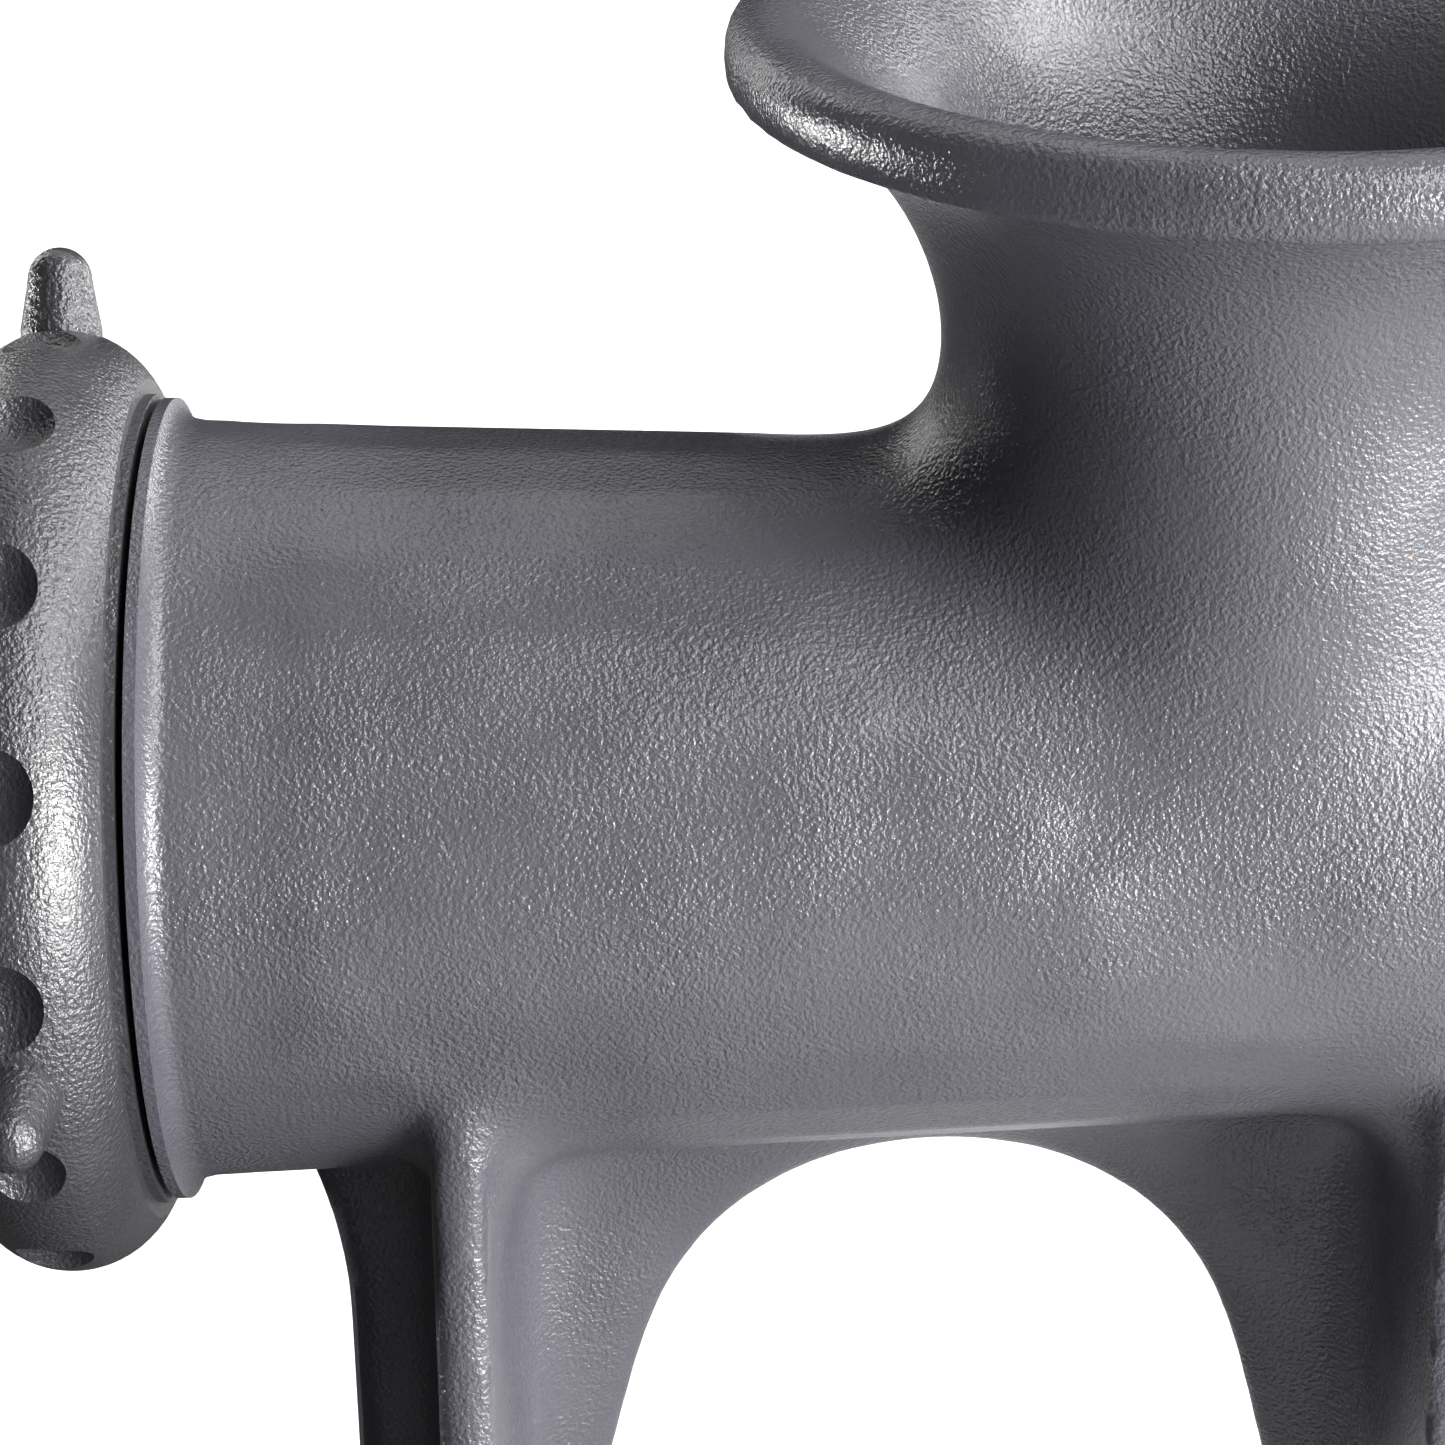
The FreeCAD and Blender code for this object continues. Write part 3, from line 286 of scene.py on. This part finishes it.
def turned_marks_group():
    """Fine rings left by a lathe or grinder about an axis along X."""
    tree, given, result = new_group(
        "turned_marks",
        {"Place": "NodeSocketVector", "Marks per metre": "NodeSocketFloat"},
        {"Height": "NodeSocketFloat", "Streak": "NodeSocketFloat"},
    )
    place = given["Place"]
    wires = {0: place, 1: (0.0, 1.0, 1.0)}
    flat = put(tree, "ShaderNodeVectorMath", wires, operation="MULTIPLY").outputs[0]
    radius = put(tree, "ShaderNodeVectorMath", {0: flat}, operation="LENGTH").outputs["Value"]
    along = times(tree, put(tree, "ShaderNodeSeparateXYZ", {0: place}).outputs["X"], 0.7)
    steps = times(tree, plus(tree, radius, along), given["Marks per metre"])
    wires = {"W": steps, "Scale": 1.0, "Detail": 3.0}
    marks = put(tree, "ShaderNodeTexNoise", wires, noise_dimensions="1D").outputs["Fac"]
    feed(tree, result["Height"], marks)
    feed(tree, result["Streak"], times(tree, marks, noise(tree, place, 90.0, 4.0)))


def tarnish_group():
    """Slow blotches with a fine cloud in them, for plating, tin and bronze."""
    tree, given, result = new_group(
        "tarnish",
        {"Place": "NodeSocketVector", "Blotches per metre": "NodeSocketFloat"},
        {"Blotch": "NodeSocketFloat", "Cloud": "NodeSocketFloat"},
    )
    blotch = noise(tree, given["Place"], given["Blotches per metre"], 4.0, Distortion=0.4)
    feed(tree, result["Blotch"], spread(tree, blotch, 0.35, 0.68))
    fine = times(tree, given["Blotches per metre"], 14.0)
    feed(tree, result["Cloud"], noise(tree, given["Place"], fine, 3.0))


def start_finish(name, centre=(0.0, 0.0, 0.0)):
    """A new material; returns it with its tree, its shader and the place measured from a centre."""
    material = bpy.data.materials.new(name)
    material.use_nodes = True
    tree = material.node_tree
    shader = tree.nodes["Principled BSDF"]
    place = put(tree, "ShaderNodeTexCoord").outputs["Object"]
    if any(centre):
        wires = {"Vector": place, "Location": shaded(centre, -1.0)}
        place = put(tree, "ShaderNodeMapping", wires).outputs[0]
    return material, tree, shader, place


def raise_skin(tree, shader, height, depth):
    """Feeds a height to the shader's normal."""
    bump = put(tree, "ShaderNodeBump", {"Height": height, "Distance": depth, "Strength": 1.0})
    feed(tree, shader.inputs["Normal"], bump.outputs["Normal"])


def dress(material, *names):
    """Gives CAD nodes a material."""
    for name in names:
        frame["nodes"][name].material_slots[0].material = material


def cast_finish(name, tone, settings, grade):
    """Cast iron with its sand skin, mottling and rust specks."""
    material, tree, shader, place = start_finish(name)
    wires = {"Place": place, "Cells per metre": 1.0 / settings.grain}
    skin = place_group(tree, "cast_skin", wires)
    mottle = spread(tree, skin["Mottle"], NOISE_LOW, NOISE_HIGH)
    tinted = blend_colour(tree, mottle, shaded(tone, 0.86), shaded(tone, 1.12))
    specked = blend_colour(tree, skin["Specks"], tinted, settings.rust_colour)
    feed(tree, shader.inputs["Base Color"], specked)
    smooth, rough = grade["roughness"] - 0.04, grade["roughness"] + 0.05
    roughness = spread(tree, skin["Mottle"], NOISE_LOW, NOISE_HIGH, smooth, rough)
    feed(tree, shader.inputs["Roughness"], roughness)
    shader.inputs["Specular IOR Level"].default_value = grade["sheen"]
    raise_skin(tree, shader, skin["Height"], settings.grain_depth * grade["depth"])
    return material


def turned_finish(name, height, tone, grade):
    """Turned metal with some tarnish, about an axis along X at a height."""
    material, tree, shader, place = start_finish(name, (0.0, 0.0, height))
    marks = place_group(tree, "turned_marks", {"Place": place, "Marks per metre": grade["marks"]})
    stain = place_group(tree, "tarnish", {"Place": place, "Blotches per metre": grade["blotches"]})
    stained = blend_colour(tree, stain["Blotch"], tone, shaded(tone, grade["dull"]))
    feed(tree, shader.inputs["Base Color"], stained)
    roughness = spread(tree, stain["Cloud"], NOISE_LOW, NOISE_HIGH, *grade["rough"])
    feed(tree, shader.inputs["Roughness"], roughness)
    shader.inputs["Metallic"].default_value = 1.0
    raise_skin(tree, shader, marks["Height"], grade["depth"])
    return material


def tinned_finish(tone):
    """Tinned cast iron, for the auger."""
    material, tree, shader, place = start_finish("tinned_auger", (0.0, 0.0, AXIS_HEIGHT))
    skin = place_group(tree, "cast_skin", {"Place": place, "Cells per metre": 900.0})
    stain = place_group(tree, "tarnish", {"Place": place, "Blotches per metre": 70.0})
    stained = blend_colour(tree, stain["Blotch"], tone, shaded(tone, 0.72))
    feed(tree, shader.inputs["Base Color"], stained)
    roughness = spread(tree, stain["Cloud"], NOISE_LOW, NOISE_HIGH, 0.34, 0.5)
    feed(tree, shader.inputs["Roughness"], roughness)
    shader.inputs["Metallic"].default_value = 0.9
    raise_skin(tree, shader, skin["Height"], 0.00004)
    return material


def fibre_finish(tone):
    """Pressed fibre, for the thrust washer."""
    material, tree, shader, place = start_finish("pressed_fibre")
    stain = place_group(tree, "tarnish", {"Place": place, "Blotches per metre": 300.0})
    cloudy = blend_colour(tree, stain["Cloud"], tone, shaded(tone, 0.7))
    feed(tree, shader.inputs["Base Color"], cloudy)
    shader.inputs["Roughness"].default_value = 0.7
    raise_skin(tree, shader, stain["Cloud"], 0.00003)
    return material


def ground_finish(tone):
    """Ground steel, for the plate and the knife."""
    material, tree, shader, place = start_finish("ground_plate", (0.0, 0.0, AXIS_HEIGHT))
    marks = place_group(tree, "turned_marks", {"Place": place, "Marks per metre": 3500.0})
    streak = spread(tree, marks["Streak"], 0.1, 0.5)
    streaky = blend_colour(tree, streak, shaded(tone, 0.82), tone)
    feed(tree, shader.inputs["Base Color"], streaky)
    feed(tree, shader.inputs["Roughness"], spread(tree, marks["Streak"], 0.1, 0.5, 0.24, 0.42))
    shader.inputs["Metallic"].default_value = 1.0
    raise_skin(tree, shader, marks["Height"], 0.000012)
    return material


def wood_finish(settings):
    """Oiled beech with its rings and pores running along X."""
    material, tree, shader, place = start_finish("oiled_beech", PITH)
    wires = {"Vector": place, "Scale": (0.06, 1.0, 1.0)}
    fibre = put(tree, "ShaderNodeMapping", wires).outputs[0]
    drift = noise(tree, fibre, 160.0, 3.0)
    wires = {"Vector": fibre, "Scale": 95.0, "Distortion": 3.5, "Detail": 2.0, "Detail Scale": 1.5}
    rings = put(tree, "ShaderNodeTexWave", wires, wave_type="RINGS", rings_direction="X").outputs["Fac"]
    pores = noise(tree, fibre, 2200.0, 2.0)
    flecks = times(tree, spread(tree, pores, 0.60, 0.72), 0.6)
    late = plus(tree, times(tree, rings, 0.45), times(tree, drift, 0.45))
    wood = blend_colour(tree, late, settings.pale_colour, settings.dark_colour)
    flecked = blend_colour(tree, flecks, wood, shaded(settings.dark_colour, 0.5))
    feed(tree, shader.inputs["Base Color"], flecked)
    feed(tree, shader.inputs["Roughness"], spread(tree, pores, NOISE_LOW, NOISE_HIGH, 0.38, 0.55))
    raise_skin(tree, shader, plus(tree, times(tree, rings, 0.5), pores), 0.00005)
    return material


def floor_finish(settings):
    """A pale floor that looks whiter to the camera, and gives less light back on the left."""
    material, tree, shader, place = start_finish("pale_floor")
    tone = settings.floor_colour
    pale = blend_colour(tree, noise(tree, place, 3.0, 2.0), tone, shaded(tone, 1.02))
    seen = put(tree, "ShaderNodeLightPath").outputs["Is Camera Ray"]
    side = put(tree, "ShaderNodeSeparateXYZ", {0: place}).outputs["X"]
    right = spread(tree, side, BOUNCE_FROM, BOUNCE_TO)
    dim, full = shaded(tone, settings.dim_bounce), shaded(tone, settings.full_bounce)
    bounce = blend_colour(tree, right, dim, full)
    feed(tree, shader.inputs["Base Color"], blend_colour(tree, seen, bounce, pale))
    shader.inputs["Roughness"].default_value = 0.9
    shader.inputs["Specular IOR Level"].default_value = 0.2
    feed(tree, shader.inputs["Emission Strength"], times(tree, seen, settings.floor_glow))
    return material


class GRINDER_OT_effects(bpy.types.Operator):
    """Builds the shared effects: cast skin, turned marks and tarnish"""

    bl_idname = "grinder.effects"
    bl_label = "Shared effects"

    def execute(self, context):
        cast_skin_group()
        turned_marks_group()
        tarnish_group()
        return {"FINISHED"}


def choose(piece, test):
    """Selects, in edit mode, the edges that a test picks, and says how many there are."""
    shape = bmesh.from_edit_mesh(piece.data)
    count = 0
    for edge in shape.edges:
        edge.select_set(bool(test(edge)))
        count += edge.select
    shape.select_flush_mode()
    bmesh.update_edit_mesh(piece.data)
    return count


def leave_out(piece, test):
    """Drops, in edit mode, the points whose place a test picks from the selection."""
    shape = bmesh.from_edit_mesh(piece.data)
    for point in shape.verts:
        if test(point.co):
            point.select_set(False)
    shape.select_flush(False)
    bmesh.update_edit_mesh(piece.data)


def middle_of(edge):
    """Middle of an edge."""
    return (edge.verts[0].co + edge.verts[1].co) / 2


def is_hollow(edge, sharpness, low, high):
    """True at an inside corner of the outer skin, sharper than an angle, between two heights."""
    spot = middle_of(edge)
    if not low < spot.z < high or not edge.is_manifold:
        return False
    if edge.calc_face_angle_signed() > -sharpness:
        return False
    facing = edge.verts[0].normal
    from_axis = Vector((0.0, spot.y, spot.z - AXIS_HEIGHT))
    in_bore = from_axis.length < BORE_REACH and facing.dot(from_axis) < 0.0
    from_hopper = Vector((spot.x - HOPPER_X, spot.y, 0.0))
    in_hopper = spot.z > THROAT_HEIGHT and facing.dot(from_hopper) < 0.0
    return not in_bore and not in_hopper


def is_seam(edge, settings, outer):
    """True on the open edges at the nose's cut, either outside or inside the nose."""
    spot = middle_of(edge)
    radius = math.hypot(spot.y, spot.z - AXIS_HEIGHT)
    near = abs(spot.x - settings.nose_cut - settings.skin_step / 2) < settings.skin_step
    return edge.is_boundary and near and (radius > NOSE_WALL) == outer


def soften(piece, test, passes, half_length=math.inf):
    """Relaxes the skin round the edges that a test picks, within half a length of the middle."""
    bpy.ops.mesh.select_all(action="DESELECT")
    if not choose(piece, test):
        raise RuntimeError("no edges to soften")
    for _ in range(BLEND_RINGS):
        bpy.ops.mesh.select_more()
    leave_out(piece, lambda spot: abs(spot.x) > half_length)
    bpy.ops.mesh.vertices_smooth(factor=0.5, repeat=passes)


def copy_of(node, name):
    """A selected, active copy of a CAD node's mesh with its loose triangles merged."""
    piece = bpy.data.objects.new(name, frame["nodes"][node].data.copy())
    bpy.context.scene.collection.objects.link(piece)
    bpy.ops.object.select_all(action="DESELECT")
    piece.select_set(True)
    bpy.context.view_layer.objects.active = piece
    bpy.ops.mesh.customdata_custom_splitnormals_clear()
    bpy.ops.object.mode_set(mode="EDIT")
    bpy.ops.mesh.select_all(action="SELECT")
    bpy.ops.mesh.remove_doubles(threshold=MERGE_DISTANCE)
    bpy.ops.object.mode_set(mode="OBJECT")
    return piece


def cut_at(place, keep_front):
    """Keeps what lies on one side of a cut across the barrel."""
    bpy.ops.object.mode_set(mode="EDIT")
    bpy.ops.mesh.select_all(action="SELECT")
    bpy.ops.mesh.bisect(
        plane_co=(place, 0.0, 0.0),
        plane_no=(1.0, 0.0, 0.0),
        clear_outer=keep_front,
        clear_inner=not keep_front,
    )
    bpy.ops.object.mode_set(mode="OBJECT")


def lay_skin(casting, step):
    """Gives the casting an even skin that lies on its solid."""
    remesh = casting.modifiers.new("skin", "REMESH")
    remesh.mode = "VOXEL"
    remesh.voxel_size = step
    bpy.ops.object.modifier_apply(modifier=remesh.name)
    settle = casting.modifiers.new("settle", "SHRINKWRAP")
    settle.target = frame["nodes"]["body_casting"]
    bpy.ops.object.modifier_apply(modifier=settle.name)


def blend_skin(casting):
    """Blends the neck's root and the legs into the barrel, then evens out the skin."""
    bpy.ops.object.mode_set(mode="EDIT")
    bpy.ops.mesh.select_mode(type="EDGE")

    def at_neck(edge):
        return is_hollow(edge, NECK_ANGLE, AXIS_HEIGHT, NECK_BLEND_TOP)

    def at_legs(edge):
        return is_hollow(edge, LEG_ANGLE, LEG_BLEND_FOOT, AXIS_HEIGHT)

    soften(casting, at_neck, NECK_PASSES)
    soften(casting, at_legs, LEG_PASSES, LEG_BLEND_HALF)
    bpy.ops.mesh.select_all(action="SELECT")
    leave_out(casting, lambda spot: spot.z < SOLE_HEIGHT)
    for _ in range(EVEN_ROUNDS):
        bpy.ops.mesh.vertices_smooth(factor=EVEN_SHRINK)
        bpy.ops.mesh.vertices_smooth(factor=EVEN_SWELL)
    bpy.ops.object.mode_set(mode="OBJECT")


def join_nose(casting, nose, settings):
    """Puts the turned nose in place of the skin's own and closes the seam."""
    cut_at(settings.nose_cut + settings.skin_step, False)
    nose.select_set(True)
    bpy.ops.object.join()
    bpy.ops.object.mode_set(mode="EDIT")
    for outer in (True, False):
        bpy.ops.mesh.select_all(action="DESELECT")
        choose(casting, lambda edge, outer=outer: is_seam(edge, settings, outer))
        bpy.ops.mesh.bridge_edge_loops()
    bpy.ops.mesh.select_all(action="SELECT")
    bpy.ops.mesh.normals_make_consistent(inside=False)
    bpy.ops.object.mode_set(mode="OBJECT")
    bpy.ops.object.shade_smooth_by_angle(angle=CREASE_ANGLE)


class GRINDER_OT_castings(bpy.types.Operator):
    """Models the body casting with soft blends, and finishes it and the crank arm in grey"""

    bl_idname = "grinder.castings"
    bl_label = "Body and crank castings"

    def execute(self, context):
        settings = context.scene.grinder_casting
        nose = copy_of("body_casting", "casting_nose")
        cut_at(settings.nose_cut, True)
        casting = copy_of("body_casting", "casting")
        lay_skin(casting, settings.skin_step)
        blend_skin(casting)
        join_nose(casting, nose, settings)
        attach(casting, "frame")
        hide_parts("body_casting")
        grey = cast_finish("grey_casting", settings.body_colour, settings, GREY_CASTING)
        casting.data.materials.clear()
        casting.data.materials.append(grey)
        dress(grey, "crank_arm")
        return {"FINISHED"}


class GRINDER_OT_ring(bpy.types.Operator):
    """Finishes the ring nut in dark bare iron"""

    bl_idname = "grinder.ring"
    bl_label = "Ring nut"

    def execute(self, context):
        settings = context.scene.grinder_casting
        dress(cast_finish("ring_iron", settings.ring_colour, settings, RING_IRON), "ring_nut")
        return {"FINISHED"}


class GRINDER_OT_cutters(bpy.types.Operator):
    """Finishes the drilled plate, the knife, its stud and the plate's key in ground steel"""

    bl_idname = "grinder.cutters"
    bl_label = "Plate and knife"

    def execute(self, context):
        ground = ground_finish(context.scene.grinder_metal.steel_colour)
        dress(ground, "cutting_plate", "knife", "knife_stud", "plate_key")
        return {"FINISHED"}


class GRINDER_OT_feed(bpy.types.Operator):
    """Finishes the auger, its thrust washer and the rear bush"""

    bl_idname = "grinder.feed"
    bl_label = "Auger and bearings"

    def execute(self, context):
        settings = context.scene.grinder_metal
        dress(tinned_finish(settings.tin_colour), "auger")
        bronze = turned_finish("bush_bronze", AXIS_HEIGHT, settings.bronze_colour, BRONZE)
        dress(bronze, "rear_bush")
        dress(fibre_finish(settings.fibre_colour), "thrust_washer")
        return {"FINISHED"}


class GRINDER_OT_clamp(bpy.types.Operator):
    """Finishes the wing screw and its washer in dull plating"""

    bl_idname = "grinder.clamp"
    bl_label = "Wing screw"

    def execute(self, context):
        tone = context.scene.grinder_metal.plated_colour
        plated = turned_finish("plated_screw", AXIS_HEIGHT, tone, PLATING)
        dress(plated, "wing_screw", "crank_washer")
        return {"FINISHED"}


class GRINDER_OT_grip(bpy.types.Operator):
    """Finishes the wooden grip, its ferrule and the bolt that it turns on"""

    bl_idname = "grinder.grip"
    bl_label = "Grip"

    def execute(self, context):
        metal = context.scene.grinder_metal
        dress(wood_finish(context.scene.grinder_grip), "wood_grip")
        bronze = turned_finish("ferrule_bronze", GRIP_HEIGHT, metal.bronze_colour, BRONZE)
        dress(bronze, "grip_ferrule")
        plated = turned_finish("plated_bolt", GRIP_HEIGHT, metal.plated_colour, PLATING)
        dress(plated, "grip_bolt", "grip_inner_washer", "grip_outer_washer")
        dress(plated, "grip_lock_washer", "grip_nut")
        return {"FINISHED"}


def hang_light(name, strength, width, height, beam, place, target):
    """Hangs an area light that faces a point."""
    light = bpy.data.lights.new(name, "AREA")
    light.shape = "RECTANGLE"
    light.size = width
    light.size_y = height
    light.energy = strength
    light.spread = math.radians(beam)
    lamp = bpy.data.objects.new(name, light)
    bpy.context.scene.collection.objects.link(lamp)
    lamp.location = place
    lamp.rotation_euler = (Vector(target) - Vector(place)).to_track_quat("-Z", "Y").to_euler()


def set_world(scene, settings):
    """A dim world that looks to the camera like the far floor."""
    world = bpy.data.worlds.new("studio")
    world.use_nodes = True
    scene.world = world
    tree = world.node_tree
    sky = tree.nodes["Background"]
    sky.inputs["Color"].default_value = (1.0, 1.0, 1.0, 1.0)
    seen = put(tree, "ShaderNodeLightPath").outputs["Is Camera Ray"]
    strength = spread(tree, seen, 0.0, 1.0, settings.ambient, settings.floor_glow)
    feed(tree, sky.inputs["Strength"], strength)


def set_camera(scene, lens):
    """The camera at the photograph's viewing angle."""
    camera = bpy.data.cameras.new("photo_view")
    camera.lens = lens
    camera.sensor_width = 36.0
    camera.clip_start = 0.01
    eye = bpy.data.objects.new("photo_view", camera)
    scene.collection.objects.link(eye)
    turn = Matrix.Rotation(math.radians(EYE_TURN), 4, "Z")
    tilt = Matrix.Rotation(math.radians(90.0 - EYE_DIP), 4, "X")
    roll = Matrix.Rotation(math.radians(EYE_ROLL), 4, "Z")
    eye.matrix_world = Matrix.Translation(EYE_PLACE) @ turn @ tilt @ roll
    scene.camera = eye


class GRINDER_OT_stage(bpy.types.Operator):
    """Sets up the pale floor, the lights and the camera"""

    bl_idname = "grinder.stage"
    bl_label = "Stage"

    def execute(self, context):
        settings = context.scene.grinder_stage
        bpy.ops.object.select_all(action="DESELECT")
        bpy.ops.mesh.primitive_plane_add(size=FLOOR_SIZE)
        floor = context.object
        floor.name = "pale_floor"
        floor.data.materials.append(floor_finish(settings))
        for name, form in LIGHTS.items():
            hang_light(name, getattr(settings, f"{name}_power"), *form)
        set_world(context.scene, settings)
        set_camera(context.scene, settings.lens)
        context.scene.view_settings.view_transform = "Standard"
        return {"FINISHED"}


OPERATORS = (
    GRINDER_OT_effects,
    GRINDER_OT_castings,
    GRINDER_OT_ring,
    GRINDER_OT_cutters,
    GRINDER_OT_feed,
    GRINDER_OT_clamp,
    GRINDER_OT_grip,
    GRINDER_OT_stage,
)
SETTINGS = {
    "grinder_casting": CastingSettings,
    "grinder_metal": MetalSettings,
    "grinder_grip": GripSettings,
    "grinder_stage": StageSettings,
}


class GRINDER_PT_panel(bpy.types.Panel):
    """Lists the settings and the operators"""

    bl_idname = "GRINDER_PT_panel"
    bl_label = "Meat grinder"
    bl_space_type = "VIEW_3D"
    bl_region_type = "UI"
    bl_category = "Grinder"

    def draw(self, context):
        for name in SETTINGS:
            group = getattr(context.scene, name)
            for field in group.__annotations__:
                self.layout.prop(group, field)
        for operator in OPERATORS:
            self.layout.operator(operator.bl_idname)


def register():
    """Registers the settings, the operators and the panel."""
    for group in SETTINGS.values():
        bpy.utils.register_class(group)
    for name, group in SETTINGS.items():
        setattr(bpy.types.Scene, name, PointerProperty(type=group))
    for operator in OPERATORS:
        bpy.utils.register_class(operator)
    bpy.utils.register_class(GRINDER_PT_panel)


def unregister():
    """Takes back what register did."""
    bpy.utils.unregister_class(GRINDER_PT_panel)
    for operator in reversed(OPERATORS):
        bpy.utils.unregister_class(operator)
    for name, group in SETTINGS.items():
        delattr(bpy.types.Scene, name)
        bpy.utils.unregister_class(group)


def main():
    """Dresses the grinder."""
    register()
    bpy.ops.grinder.effects()
    bpy.ops.grinder.castings()
    bpy.ops.grinder.ring()
    bpy.ops.grinder.cutters()
    bpy.ops.grinder.feed()
    bpy.ops.grinder.clamp()
    bpy.ops.grinder.grip()
    bpy.ops.grinder.stage()
    bpy.context.view_layer.update()


if __name__ == "__main__":
    main()
